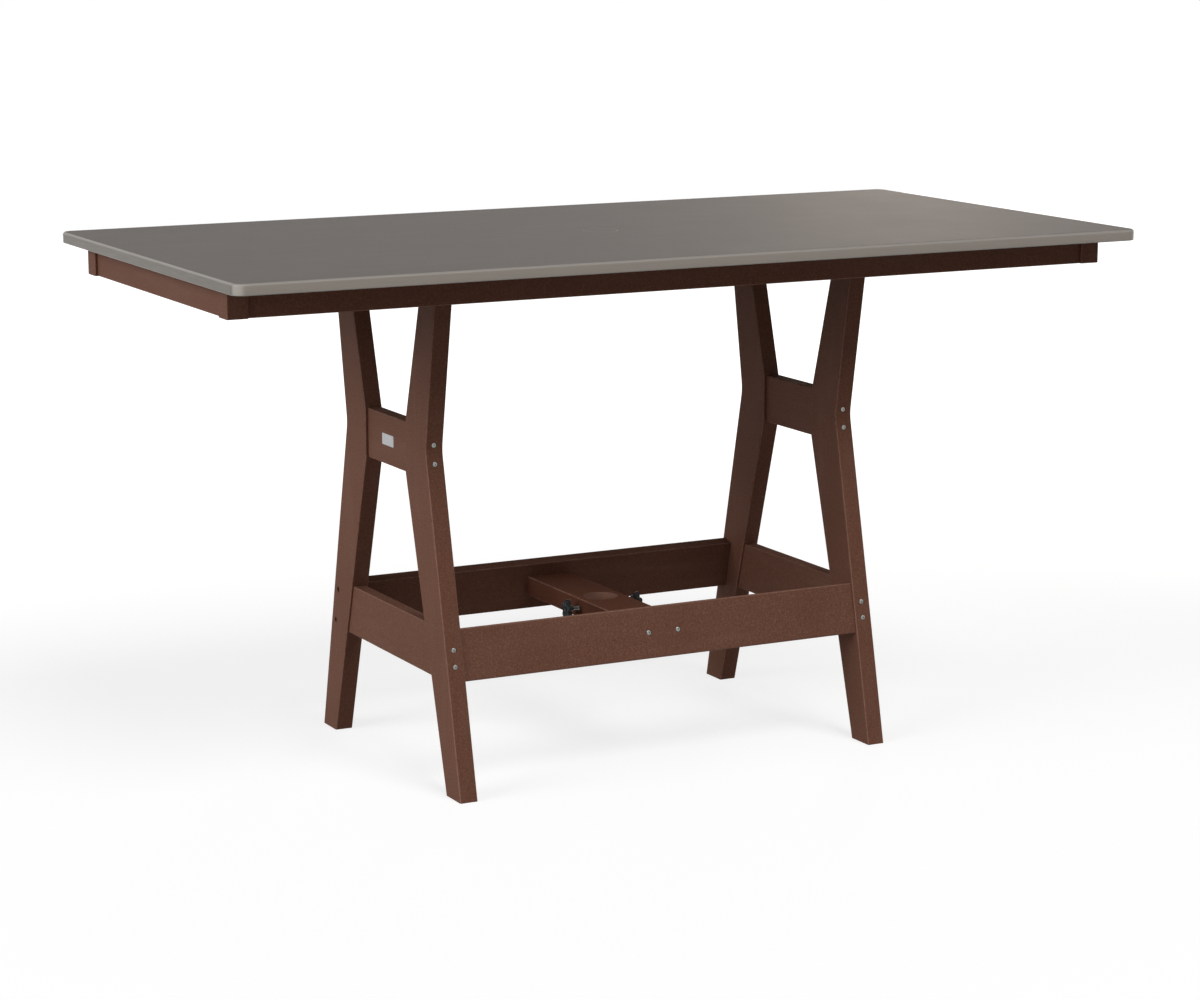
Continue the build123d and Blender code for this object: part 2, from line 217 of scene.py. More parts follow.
def maths(tree, operation, first, second=None, third=None, clamp=False):
    node = node_of(tree, "ShaderNodeMath", operation=operation, use_clamp=clamp)
    for socket, value in zip(node.inputs, (first, second, third)):
        if value is not None:
            feed(tree, value, socket)
    return node.outputs["Value"]


def times(tree, first, second):
    return maths(tree, "MULTIPLY", first, second)


def times_plus(tree, first, second, added, clamp=False):
    return maths(tree, "MULTIPLY_ADD", first, second, added, clamp)


def unsigned(tree, value):
    return maths(tree, "ABSOLUTE", value)


def vector_maths(tree, operation, first, second):
    node = node_of(tree, "ShaderNodeVectorMath", operation=operation)
    feed(tree, first, node.inputs[0])
    feed(tree, second, node.inputs[1])
    return node.outputs["Value"] if operation == "DOT_PRODUCT" else node.outputs["Vector"]


def mixed(tree, share, first, second):
    """A mix of two colours, whose sockets come after a Mix node's sockets for numbers and vectors."""
    first_colour, second_colour, colour_result = 6, 7, 2
    node = node_of(tree, "ShaderNodeMix", data_type="RGBA", clamp_factor=True)
    feed(tree, share, node.inputs["Factor"])
    feed(tree, first, node.inputs[first_colour])
    feed(tree, second, node.inputs[second_colour])
    return node.outputs[colour_result]


def noise(tree, place, scale, detail, roughness):
    node = node_of(tree, "ShaderNodeTexNoise", noise_dimensions="3D")
    feed(tree, place, node.inputs["Vector"])
    feed(tree, scale, node.inputs["Scale"])
    node.inputs["Detail"].default_value = detail
    node.inputs["Roughness"].default_value = roughness
    return node.outputs["Fac"]


def spread(tree, value, low, high, new_low=0.0, new_high=1.0):
    """Maps low..high to new_low..new_high, smoothly and clamped."""
    node = node_of(tree, "ShaderNodeMapRange", interpolation_type="SMOOTHSTEP")
    limits = {"Value": value, "From Min": low, "From Max": high, "To Min": new_low, "To Max": new_high}
    for key, given in limits.items():
        feed(tree, given, node.inputs[key])
    return node.outputs["Result"]


def facing_axes(tree):
    """The X, Y and Z parts of the way in which the surface looks."""
    face = node_of(tree, "ShaderNodeNewGeometry")
    axes = node_of(tree, "ShaderNodeSeparateXYZ")
    feed(tree, face.outputs["Normal"], axes.inputs["Vector"])
    return axes.outputs


def rubbed_patches(tree, place, least):
    """Patches that handling has rubbed more or less, from least to one."""
    patch_range = (0.30, 0.62)
    patches = noise(tree, place, rub_scale, detail=3.0, roughness=0.6)
    return spread(tree, patches, *patch_range, least, 1.0)


# Effects that several materials share, as node groups
number, colour, direction = "NodeSocketFloat", "NodeSocketColor", "NodeSocketVector"


def new_group(name, inputs, outputs):
    """A shader node group with named sockets, and its input and output nodes."""
    group = bpy.data.node_groups.new(name, "ShaderNodeTree")
    for label, kind, value in inputs:
        socket = group.interface.new_socket(label, in_out="INPUT", socket_type=kind)
        if value is not None:
            socket.default_value = value
    for label, kind in outputs:
        group.interface.new_socket(label, in_out="OUTPUT", socket_type=kind)
    return group, node_of(group, "NodeGroupInput"), node_of(group, "NodeGroupOutput")


def make_mottle_group():
    """Fine flecks, lengthwise streaks and slow clouds of tone, as on pressed polymer."""
    light_fleck_range, dark_fleck_range = (0.47, 0.78), (0.50, 0.24)
    streak_range, cloud_range = (0.45, 0.75), (0.45, 0.80)
    group, given, result = new_group(
        "pressed_mottle",
        [
            ("Place", direction, None),
            ("Stretched Place", direction, None),
            ("Base", colour, board_brown),
            ("Light", colour, board_light),
            ("Dark", colour, board_dark),
            ("Fleck Scale", number, board_fleck_scale),
            ("Fleck Share", number, 0.5),
            ("Streak Share", number, 0.3),
            ("Cloud Share", number, 0.3),
        ],
        [("Color", colour), ("Fleck", number), ("Streak", number)],
    )
    place = given.outputs["Place"]
    fleck = noise(group, place, given.outputs["Fleck Scale"], detail=2.0, roughness=0.55)
    streak = noise(group, given.outputs["Stretched Place"], streak_scale, detail=4.0, roughness=0.6)
    cloud = noise(group, place, cloud_scale, detail=2.0, roughness=0.5)
    light_fleck = times(group, spread(group, fleck, *light_fleck_range), given.outputs["Fleck Share"])
    dark_fleck = times(group, spread(group, fleck, *dark_fleck_range), given.outputs["Fleck Share"])
    tone = mixed(group, light_fleck, given.outputs["Base"], given.outputs["Light"])
    tone = mixed(group, dark_fleck, tone, given.outputs["Dark"])
    streak_share = times(group, spread(group, streak, *streak_range), given.outputs["Streak Share"])
    tone = mixed(group, streak_share, tone, given.outputs["Light"])
    cloud_share = times(group, spread(group, cloud, *cloud_range), given.outputs["Cloud Share"])
    tone = mixed(group, cloud_share, tone, given.outputs["Dark"])
    for label, socket in (("Color", tone), ("Fleck", fleck), ("Streak", streak)):
        feed(group, socket, result.inputs[label])
    return group


def make_arris_group():
    """Masks of a board's rounded arrises, between its broad side and its edge: rubbed, and whole. They place
    paler colour: wear and painted highlight on the boards, painted highlight on the sheet.
    """
    edge_range, broad_range = (0.12, 0.40), (0.99, 0.90)
    group, given, result = new_group(
        "arris_wear_and_highlight",
        [("Place", direction, None), ("Broad Side", direction, along_table)],
        [("Mask", number), ("Turning", number)],
    )
    face = node_of(group, "ShaderNodeNewGeometry")
    agreement = vector_maths(group, "DOT_PRODUCT", face.outputs["Normal"], given.outputs["Broad Side"])
    facing = unsigned(group, agreement)
    turning = times(group, spread(group, facing, *edge_range), spread(group, facing, *broad_range))
    rubbed = rubbed_patches(group, given.outputs["Place"], least=0.45)
    feed(group, times(group, turning, rubbed), result.inputs["Mask"])
    feed(group, turning, result.inputs["Turning"])
    return group


def make_rub_group():
    """A mask of rubbed edges on small pieces: where a rounded normal leaves the true one."""
    least_leaving = 0.02
    group, given, result = new_group(
        "edge_rub",
        [("Place", direction, None), ("Radius", number, 0.001), ("Softness", number, 0.30)],
        [("Mask", number)],
    )
    rounded = node_of(group, "ShaderNodeBevel", samples=6)
    feed(group, given.outputs["Radius"], rounded.inputs["Radius"])
    true_face = node_of(group, "ShaderNodeNewGeometry")
    agreement = vector_maths(group, "DOT_PRODUCT", rounded.outputs["Normal"], true_face.outputs["Normal"])
    leaving = maths(group, "SUBTRACT", 1.0, agreement)
    edge = spread(group, leaving, least_leaving, given.outputs["Softness"])
    rubbed = rubbed_patches(group, given.outputs["Place"], least=0.35)
    feed(group, times(group, edge, rubbed), result.inputs["Mask"])
    return group


def make_lines_group():
    """Fine lines left by a tool: close together across, long along the cut."""
    group, given, result = new_group(
        "tool_lines",
        [("Place", direction, None), ("Lines", direction, (20.0, 20.0, 900.0)), ("Contrast", number, 0.2)],
        [("Height", number), ("Mask", number)],
    )
    stretched = vector_maths(group, "MULTIPLY", given.outputs["Place"], given.outputs["Lines"])
    line = noise(group, stretched, 1.0, detail=3.0, roughness=0.55)
    low = maths(group, "SUBTRACT", noise_middle, given.outputs["Contrast"])
    high = maths(group, "ADD", noise_middle, given.outputs["Contrast"])
    feed(group, line, result.inputs["Height"])
    feed(group, spread(group, line, low, high), result.inputs["Mask"])
    return group


def make_haze_group():
    """Slow changes of gloss from handling, and a film of dust on faces that look up."""
    upward_range, dust_range, least_dust = (0.4, 1.0), (0.30, 0.60), 0.5
    group, given, result = new_group(
        "handling_haze",
        [("Place", direction, None), ("Gloss", number, 0.45), ("Swing", number, 0.08)],
        [("Roughness", number), ("Dust", number)],
    )
    slow = noise(group, given.outputs["Place"], haze_scale, detail=4.0, roughness=0.6)
    middle = maths(group, "SUBTRACT", slow, noise_middle)
    swing = times(group, middle, given.outputs["Swing"])
    upward = spread(group, facing_axes(group)["Z"], *upward_range)
    dust = times(group, upward, spread(group, slow, *dust_range, least_dust, 1.0))
    feed(group, maths(group, "ADD", swing, given.outputs["Gloss"]), result.inputs["Roughness"])
    feed(group, dust, result.inputs["Dust"])
    return group


mottle_group = make_mottle_group()
arris_group = make_arris_group()
rub_group = make_rub_group()
lines_group = make_lines_group()
haze_group = make_haze_group()


# Material helpers
def placed(tree, group, **values):
    """A group in a material, with its own values."""
    node = node_of(tree, "ShaderNodeGroup", node_tree=group)
    for key, value in values.items():
        feed(tree, value, node.inputs[key.replace("_", " ").title()])
    return node


def new_material(name):
    """A material with its node tree, its shader and the place on the piece."""
    material = bpy.data.materials.new(name)
    material.use_nodes = True
    tree = material.node_tree
    shader = tree.nodes["Principled BSDF"]
    place = node_of(tree, "ShaderNodeTexCoord").outputs["Object"]
    return material, tree, shader, place


def stretched_along(tree, place, grain):
    return vector_maths(tree, "MULTIPLY", place, grain)


def bumped(tree, shader, height, strength, distance):
    """Relief on a shader from a height that changes over the surface."""
    bump = node_of(tree, "ShaderNodeBump")
    bump.inputs["Strength"].default_value = strength
    bump.inputs["Distance"].default_value = distance
    feed(tree, height, bump.inputs["Height"])
    feed(tree, bump.outputs["Normal"], shader.inputs["Normal"])


def away_from_pole(tree, place):
    """The level distance from the line of the umbrella pole."""
    level = vector_maths(tree, "MULTIPLY", place, (1.0, 1.0, 0.0))
    away = node_of(tree, "ShaderNodeVectorMath", operation="LENGTH")
    feed(tree, level, away.inputs[0])
    return away.outputs["Value"]


def bore_light_mask(tree, place, radius):
    """A mask of the machined wall and rim of the pole's bore, where paler colour is painted as light on
    them.
    """
    return spread(tree, away_from_pole(tree, place), radius + bore_rim_end, radius + bore_rim_start)


# Materials
def brown_board(
    name, grain, broad_side, tones=board_tones, fleck_share=0.50, gloss=0.57, sheen=0.075, bore=0.0
):
    """Brown polymer board: fine flecks, streaks along its length, arrises painted paler, partly wear and
    partly painted highlight, and a bore painted paler as painted light.
    """
    arris_share, bore_light_share = 0.55, 0.65
    fleck_roughness, dust_roughness, streak_height = 0.10, 0.45, 0.35
    base, light, dark = tones
    material, tree, shader, place = new_material(name)
    mottle = placed(
        tree,
        mottle_group,
        place=place,
        stretched_place=stretched_along(tree, place, grain),
        base=base,
        light=light,
        dark=dark,
        fleck_scale=board_fleck_scale,
        fleck_share=fleck_share,
        streak_share=0.22,
        cloud_share=0.25,
    )
    edge_masks = placed(tree, arris_group, place=place, broad_side=broad_side)
    haze = placed(tree, haze_group, place=place, gloss=gloss, swing=0.10)
    # Arrises paler: partly wear, partly a painted highlight
    tone = mixed(tree, times(tree, edge_masks.outputs["Mask"], arris_share), mottle.outputs["Color"], pale_wear_and_light_brown)
    # Painted light: the bore's wall and rim paler, as if lit
    if bore:
        tone = mixed(tree, times(tree, bore_light_mask(tree, place, bore), bore_light_share), tone, pale_wear_and_light_brown)
    feed(tree, tone, shader.inputs["Base Color"])
    rough = times_plus(tree, mottle.outputs["Fleck"], fleck_roughness, haze.outputs["Roughness"])
    rough = times_plus(tree, haze.outputs["Dust"], dust_roughness, rough, clamp=True)
    feed(tree, rough, shader.inputs["Roughness"])
    shader.inputs["Specular IOR Level"].default_value = sheen
    height = times_plus(tree, mottle.outputs["Streak"], streak_height, mottle.outputs["Fleck"])
    bumped(tree, shader, height, strength=0.45, distance=0.0011)
    return material


def taupe_sheet(name):
    """Taupe sheet: a fine pebble on the flat, tool lines and a sheen round the cut edge; paler arrises and
    corners as painted highlights, and the long cut edges painted lighter and the ends darker as painted
    light and shade.
    """
    cut_range, polished_range = (0.75, 0.20), (0.97, 0.80)
    outside_range, end_range, corner_highlight_range = (0.2, 0.3), (0.35, 0.85), (0.16, 0.46)
    line_share, cut_share, arris_share, polish_share = 0.20, 0.90, 0.50, 0.40
    fleck_roughness, line_height = 0.08, 0.8
    material, tree, shader, place = new_material(name)
    mottle = placed(
        tree,
        mottle_group,
        place=place,
        stretched_place=stretched_along(tree, place, sheet_grain),
        base=sheet_taupe,
        light=sheet_light,
        dark=sheet_dark,
        fleck_scale=sheet_fleck_scale,
        fleck_share=0.30,
        streak_share=0.10,
        cloud_share=0.12,
    )
    lines = placed(tree, lines_group, place=place, lines=sheet_cut_lines, contrast=0.20)
    edge_masks = placed(tree, arris_group, place=place, broad_side=straight_up)
    haze = placed(tree, haze_group, place=place, gloss=0.64, swing=0.06)
    axes = facing_axes(tree)
    cut_edge = spread(tree, unsigned(tree, axes["Z"]), *cut_range)
    lined = times(tree, times(tree, lines.outputs["Mask"], cut_edge), line_share)
    outside = spread(tree, away_from_pole(tree, place), *outside_range)
    along = unsigned(tree, axes["X"])
    across = unsigned(tree, axes["Y"])
    # Painted light and shade: the long cut edges lighter, the ends darker
    end = times(tree, spread(tree, along, *end_range), outside)
    cut_tone = mixed(tree, end, sheet_cut_long_painted_light, sheet_cut_end_painted_shade)
    # Painted highlight: the rounded corners of the cut edge paler
    corner = spread(tree, times(tree, along, across), *corner_highlight_range)
    cut_tone = mixed(tree, times(tree, corner, outside), cut_tone, sheet_corner_painted_highlight)
    tone = mixed(tree, times(tree, cut_edge, cut_share), mottle.outputs["Color"], cut_tone)
    tone = mixed(tree, lined, tone, sheet_pale_lines_and_highlight)
    # Painted highlight: the rounded top arris paler
    tone = mixed(tree, times(tree, edge_masks.outputs["Turning"], arris_share), tone, sheet_pale_lines_and_highlight)
    feed(tree, tone, shader.inputs["Base Color"])
    rough = times_plus(tree, mottle.outputs["Fleck"], fleck_roughness, haze.outputs["Roughness"])
    feed(tree, rough, shader.inputs["Roughness"])
    shader.inputs["Specular IOR Level"].default_value = 0.10
    polished = spread(tree, unsigned(tree, axes["Z"]), *polished_range)
    feed(tree, times(tree, polished, polish_share), shader.inputs["Coat Weight"])
    shader.inputs["Coat Roughness"].default_value = 0.30
    shader.inputs["Coat IOR"].default_value = 1.45
    edge_height = times(tree, lines.outputs["Height"], cut_edge)
    height = times_plus(tree, edge_height, line_height, mottle.outputs["Fleck"])
    bumped(tree, shader, height, strength=0.22, distance=0.0006)
    return material


def moulded_black(name):
    """Black moulded polymer with a fine texture and lobes rubbed a little paler."""
    scuff_range, rub_share = (0.45, 0.80), 0.5
    material, tree, shader, place = new_material(name)
    edge_masks = placed(tree, rub_group, place=place, radius=0.0012, softness=0.30)
    haze = placed(tree, haze_group, place=place, gloss=0.44, swing=0.20)
    grain = noise(tree, place, moulding_scale, detail=2.0, roughness=0.5)
    tone = mixed(tree, spread(tree, grain, *scuff_range), knob_black, knob_scuff)
    tone = mixed(tree, times(tree, edge_masks.outputs["Mask"], rub_share), tone, knob_scuff)
    feed(tree, tone, shader.inputs["Base Color"])
    feed(tree, haze.outputs["Roughness"], shader.inputs["Roughness"])
    shader.inputs["Specular IOR Level"].default_value = 0.16
    bumped(tree, shader, grain, strength=0.25, distance=0.0002)
    return material


def worked_metal(name, bright, stained, lines, gloss):
    """Metal with tool lines, duller stains and rubbed edges."""
    stain_range, stain_roughness = (0.50, 0.78), 0.15
    stain_share, line_share, rub_share = 0.55, 0.22, 0.60
    material, tree, shader, place = new_material(name)
    drawn = placed(tree, lines_group, place=place, lines=lines, contrast=0.18)
    edge_masks = placed(tree, rub_group, place=place, radius=0.0006, softness=0.35)
    haze = placed(tree, haze_group, place=place, gloss=gloss, swing=0.22)
    stain = spread(tree, noise(tree, place, stain_scale, detail=4.0, roughness=0.65), *stain_range)
    tone = mixed(tree, times(tree, stain, stain_share), bright, stained)
    tone = mixed(tree, times(tree, drawn.outputs["Mask"], line_share), tone, stained)
    tone = mixed(tree, times(tree, edge_masks.outputs["Mask"], rub_share), tone, bright)
    feed(tree, tone, shader.inputs["Base Color"])
    rough = times_plus(tree, stain, stain_roughness, haze.outputs["Roughness"])
    feed(tree, rough, shader.inputs["Roughness"])
    shader.inputs["Metallic"].default_value = 1.0
    bumped(tree, shader, drawn.outputs["Height"], strength=0.20, distance=0.0001)
    return material


sheet = taupe_sheet("taupe_sheet")
black = moulded_black("moulded_black")
screw_steel = worked_metal("screw_steel", steel_grey, steel_stain, screw_lines, gloss=0.34)
stud_steel = worked_metal("stud_steel", stud_grey, stud_stain, stud_lines, gloss=0.28)
shaded_screw_steel = worked_metal("screw_steel_painted_shade", shaded_screw_grey, shaded_screw_stain, screw_lines, gloss=0.45)
brass = worked_metal("turned_brass", brass_dull, brass_brown, insert_lines, gloss=0.42)
satin = worked_metal("satin_plate", plate_silver, plate_shade, plate_lines, gloss=0.40)


# Mesh helpers
def finished(name, mesh_data, material, body, slot, *nodes):
    """Turns a bmesh into a smooth, closed piece that stands for some nodes and rides on a body."""
    bmesh.ops.recalc_face_normals(mesh_data, faces=mesh_data.faces)
    mesh = bpy.data.meshes.new(name)
    mesh_data.to_mesh(mesh)
    mesh_data.free()
    mesh.materials.append(material)
    mesh.shade_smooth()
    mesh.set_sharp_from_angle(angle=sharp_angle)
    piece = bpy.data.objects.new(name, mesh)
    bpy.context.scene.collection.objects.link(piece)
    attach(piece, body)
    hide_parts(*nodes)


def spun_ring(middle, first, second, radii):
    """Points round a middle, each at its own radius, turning from a first direction to a second."""
    points = []
    for i, radius in enumerate(radii):
        angle = 2 * math.pi * i / len(radii)
        points.append(middle + (first * math.cos(angle) + second * math.sin(angle)) * radius)
    return points


def quarter_turn(steps):
    """Angles from zero to a right angle."""
    return [math.pi / 2 * step / steps for step in range(steps + 1)]


def rounded_outline(half_x, half_y, radius, inset):
    """Points round a rectangle with rounded corners, drawn in by an inset."""
    points = []
    reach = radius - inset
    for corner in range(4):
        sign_x = 1 if corner in (0, 3) else -1
        sign_y = 1 if corner in (0, 1) else -1
        for step in range(corner_steps + 1):
            angle = math.pi / 2 * (corner + step / corner_steps)
            points.append((
                sign_x * (half_x - radius) + reach * math.cos(angle),
                sign_y * (half_y - radius) + reach * math.sin(angle),
            ))
    return points


def join_rings(mesh_data, first, second):
    count = len(first)
    for i in range(count):
        j = (i + 1) % count
        mesh_data.faces.new((first[i], first[j], second[j], second[i]))


def close_ring(mesh_data, ring, middle):
    """Closes a ring with a fan of faces to a point in its middle."""
    tip = mesh_data.verts.new(middle)
    count = len(ring)
    for i in range(count):
        mesh_data.faces.new((ring[i], ring[(i + 1) % count], tip))


def ring_edges(mesh_data, ring):
    return [mesh_data.edges.get((a, b)) for a, b in zip(ring, ring[1:] + ring[:1])]


def skin_rings(mesh_data, rings):
    """A skin over a run of rings with the same count of points, open at its two ends."""
    made = [[mesh_data.verts.new(point) for point in ring] for ring in rings]
    for first, second in zip(made, made[1:]):
        join_rings(mesh_data, first, second)
    return made


# Screws, which run along the table, across it, straight up or square to a leaning stretcher
axes_of_screws = [along_table, across_table, straight_up, front_lean, back_lean]


def islands(node):
    """The separate solids of a node, each as a list of its corner points, in the mesh's order."""
    data = bmesh.new()
    data.from_mesh(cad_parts[node].data)
    bmesh.ops.remove_doubles(data, verts=data.verts, dist=weld_distance)
    found = set()
    groups = []
    for start in data.verts:
        if start in found:
            continue
        found.add(start)
        group = [start]
        # The group grows by its neighbours while it is walked
        for corner in group:
            for link in corner.link_edges:
                other = link.other_vert(corner)
                if other not in found:
                    found.add(other)
                    group.append(other)
        groups.append([corner.co.copy() for corner in group])
    data.free()
    return groups


def screw_seats(node):
    """Each screw of a node: the middle of its head, the way it faces, its length and both radii."""
    seats = []
    for points in islands(node):
        middle = sum(points, Vector()) / len(points)
        along = min(axes_of_screws, key=lambda axis: max((p - middle).cross(axis).length for p in points))
        reach = [(p - middle).dot(along) for p in points]
        low, high = min(reach), max(reach)
        ends = {}
        for sign, end in ((-1, low), (1, high)):
            cap = [p for p, r in zip(points, reach) if abs(r - end) < end_tolerance]
            centre = sum(cap, Vector()) / len(cap)
            ends[sign] = (max((p - centre).length for p in cap), centre)
        sign = 1 if ends[1][0] > ends[-1][0] else -1
        radius, centre = ends[sign]
        seats.append((centre, along * sign, high - low, radius, ends[-sign][0]))
    return seats


def square_radii(half):
    """Radii round a square with blunted corners, so that its points match a circle's."""
    radii = []
    for i in range(screw_sides):
        angle = 2 * math.pi * i / screw_sides
        reach = max(abs(math.cos(angle)), abs(math.sin(angle)))
        radii.append(min(half / reach, half * math.sqrt(2) - screw_socket_corner))
    return radii


def screw_group(name, node, material):
    """Pan-head screws with a rounded rim and a square drive socket."""
    data = bmesh.new()
    for centre, way, length, head, shank in screw_seats(node):
        side = way.orthogonal().normalized()
        up = way.cross(side)
        profile = [
            (shank * screw_tip_share, -length),
            (shank, -length + screw_tip_length),
            (shank, -screw_head_depth),
            (head, -screw_head_depth),
        ]
        profile += [(head * share, -drop) for share, drop in screw_head_curve]
        levels = [([radius] * screw_sides, rise) for radius, rise in profile]
        levels.append((square_radii(screw_socket_half), 0.0))
        levels.append((square_radii(screw_socket_half * screw_socket_taper), -screw_socket_depth))
        rings = [spun_ring(centre + way * rise, side, up, radii) for radii, rise in levels]
        made = skin_rings(data, rings)
        close_ring(data, made[0], centre - way * length)
        close_ring(data, made[-1], centre - way * (screw_socket_depth + screw_socket_dimple))
    finished(name, data, material, "table", "steel", node)


# Umbrella clamp
def clamp_axis(side):
    """The way in which a clamp screw points outward, and the middle of its stud."""
    low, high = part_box(f"{side}_clamp_stud")
    middle = (low + high) / 2
    return Vector((math.copysign(1.0, middle.x), 0, 0)), middle


def clamp_stud(side):
    """A stud with a real thread, chamfered at its nose."""
    way, middle = clamp_axis(side)
    low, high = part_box(f"{side}_clamp_stud")
    length = high.x - low.x
    radius = (high.z - low.z) / 2
    nose = Vector((low.x if way.x > 0 else high.x, middle.y, middle.z))
    across = way.cross(straight_up)
    steps = round(length / thread_pitch * thread_samples)
    rings = []
    for step in range(steps + 1):
        run = length * step / steps
        limit = radius - max(0.0, stud_nose - run)
        radii = []
        for i in range(stud_sides):
            phase = (run / thread_pitch - i / stud_sides) % 1.0
            flank = min(1.0, max(0.0, abs(2 * phase - 1) * thread_flank_gain - thread_crest_share))
            radii.append(min(limit, radius - thread_depth * flank))
        rings.append(spun_ring(nose + way * run, straight_up, across, radii))
    data = bmesh.new()
    made = skin_rings(data, rings)
    close_ring(data, made[0], nose)
    close_ring(data, made[-1], nose + way * length)
    finished(f"{side}_threaded_stud", data, stud_steel, f"{side}_screw", "steel", f"{side}_clamp_stud")


def lobed_radii(inset, lobe_share=1.0):
    """Radii of the knob's outline, drawn in by an inset and blended towards a circle."""
    count = knob_lobes * knob_sides_per_lobe
    radii = []
    for i in range(count):
        turn = 2 * math.pi * i / count * knob_lobes
        swing = knob_outline_swing * math.cos(turn)
        star = knob_outline_middle + swing - knob_outline_squeeze * math.cos(2 * turn)
        radii.append((star - inset) * lobe_share + (knob_outline_middle - inset) * (1 - lobe_share))
    return radii


def clamp_knob(side):
    """A five-lobed knob with rounded lobes, a shallow dish and a domed cap in its middle."""
    way, middle = clamp_axis(side)
    low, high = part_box(f"{side}_clamp_knob")
    stud_low, stud_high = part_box(f"{side}_clamp_stud")
    back = Vector((low.x if way.x > 0 else high.x, middle.y, middle.z))
    thick = high.x - low.x
    across = way.cross(straight_up)
    bore = (stud_high.z - stud_low.z) / 2 + knob_bore_clearance

    def circle(radius):
        return [radius] * (knob_lobes * knob_sides_per_lobe)

    levels = [
        (circle(bore), knob_bore_depth),
        (circle(bore), knob_bore_chamfer),
        (circle(bore + knob_bore_chamfer), 0.0),
        (circle(knob_boss_radius - knob_boss_chamfer), 0.0),
        (circle(knob_boss_radius), knob_boss_chamfer),
        (circle(knob_boss_radius), knob_boss_height),
    ]
    for turn in quarter_turn(knob_edge_steps):
        inset = knob_edge_radius * (1 - math.sin(turn))
        levels.append((lobed_radii(inset), knob_boss_height + knob_edge_radius * (1 - math.cos(turn))))
    for turn in quarter_turn(knob_edge_steps):
        inset = knob_edge_radius * (1 - math.cos(turn))
        levels.append((lobed_radii(inset), thick - knob_edge_radius * (1 - math.sin(turn))))
    levels += [
        (lobed_radii(knob_lip_inset, knob_lip_lobe_share), thick - knob_lip_drop),
        (circle(knob_dish_radius), thick - knob_dish_drop),
        (circle(knob_groove_outer_radius), thick - knob_groove_drop),
        (circle(knob_groove_inner_radius), thick - knob_groove_drop),
        (circle(knob_cap_radius), thick - knob_cap_drop),
        (circle(knob_cap_shoulder_radius), thick - knob_cap_shoulder_drop),
        (circle(knob_cap_flat_radius), thick),
    ]
    rings = [spun_ring(back + way * run, straight_up, across, radii) for radii, run in levels]
    data = bmesh.new()
    made = skin_rings(data, rings)
    close_ring(data, made[0], back + way * knob_bore_depth)
    close_ring(data, made[-1], back + way * thick)
    finished(f"{side}_star_knob", data, black, f"{side}_knob", "knob", f"{side}_clamp_knob")


# Sheet top and plate
def slab():
    """The sheet top, with finely rounded corners and edges and its stepped umbrella hole."""
    low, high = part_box("tabletop")
    plug_low, plug_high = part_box("hole_plug")
    seat = (plug_high.x - plug_low.x) / 2 + plug_clearance
    hole = seat - plug_ledge
    outer = [(slab_bottom_radius + slab_flat_margin, low.z)]
    for turn in quarter_turn(slab_edge_steps):
        inset = slab_bottom_radius * (1 - math.sin(turn))
        outer.append((inset, low.z + slab_bottom_radius * (1 - math.cos(turn))))
    for turn in quarter_turn(slab_edge_steps):
        inset = slab_top_radius * (1 - math.cos(turn))
        outer.append((inset, high.z - slab_top_radius * (1 - math.sin(turn))))
    outer.append((slab_top_radius + slab_flat_margin, high.z))
    inner = [(seat, high.z), (seat, plug_low.z), (hole, plug_low.z), (hole, low.z)]
    outer_rings = []
    for inset, z in outer:
        outline = rounded_outline(high.x, high.y, slab_corner_radius, inset)
        outer_rings.append([Vector((x, y, z)) for x, y in outline])
    hole_rings = []
    for radius, z in inner:
        hole_rings.append(spun_ring(straight_up * z, along_table, across_table, [radius] * hole_sides))
    data = bmesh.new()
    sides = skin_rings(data, outer_rings)
    walls = skin_rings(data, hole_rings)
    for outer_ring, hole_ring in ((sides[-1], walls[0]), (sides[0], walls[-1])):
        rims = ring_edges(data, outer_ring) + ring_edges(data, hole_ring)
        bmesh.ops.triangle_fill(data, use_beauty=True, edges=rims)
    finished("sheet_top", data, sheet, "table", "top_sheet", "tabletop")


def plate():
    """The small bare plate: thin, with a softly rolled rim."""
    low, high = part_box("bare_plate")
    middle = (low + high) / 2
    half_y, half_z = (high.y - low.y) / 2, (high.z - low.z) / 2
    thick = high.x - low.x
    rings = []
    for inset, rise in plate_rim_profile:
        outline = rounded_outline(half_y, half_z, plate_corner_radius, inset * plate_rim)
        rings.append([Vector((high.x - rise * thick, middle.y + y, middle.z + z)) for y, z in outline])
    data = bmesh.new()
    made = skin_rings(data, rings)
    data.faces.new(made[0])
    data.faces.new(made[-1])
    finished("rolled_bare_plate", data, satin, "table", "plate", "bare_plate")


slab()
plate()
for side in ("left", "right"):
    clamp_stud(side)
    clamp_knob(side)
bright_screws = ("knee_screws", "end_stretcher_screws", "bracket_screws", "leg_top_screws", "top_screws")
for node in bright_screws:
    screw_group(f"{node}_socket_heads", node, screw_steel)
# These screws take the dark steel, painted shade
screw_group("back_stretcher_screws_socket_heads", "back_stretcher_screws", shaded_screw_steel)

# Finish of the nodes that stay
upright_board = brown_board("brown_board_upright", grain_upright, along_table)
cross_board = brown_board("brown_board_cross", grain_along_y, along_table)
long_board = brown_board("brown_board_long", grain_along_x, across_table)
# The bracket's board takes the deeper tones, painted shade
flat_board = brown_board(
    "brown_board_flat_painted_shade",
    grain_along_y,
    straight_up,
    tones=shaded_bracket_tones,
    fleck_share=0.40,
    gloss=0.85,
    sheen=0.03,
    bore=pole_bore_radius,
)
front_board = brown_board("brown_board_front_lean", grain_along_x, front_lean, fleck_share=0.70, sheen=0.12)
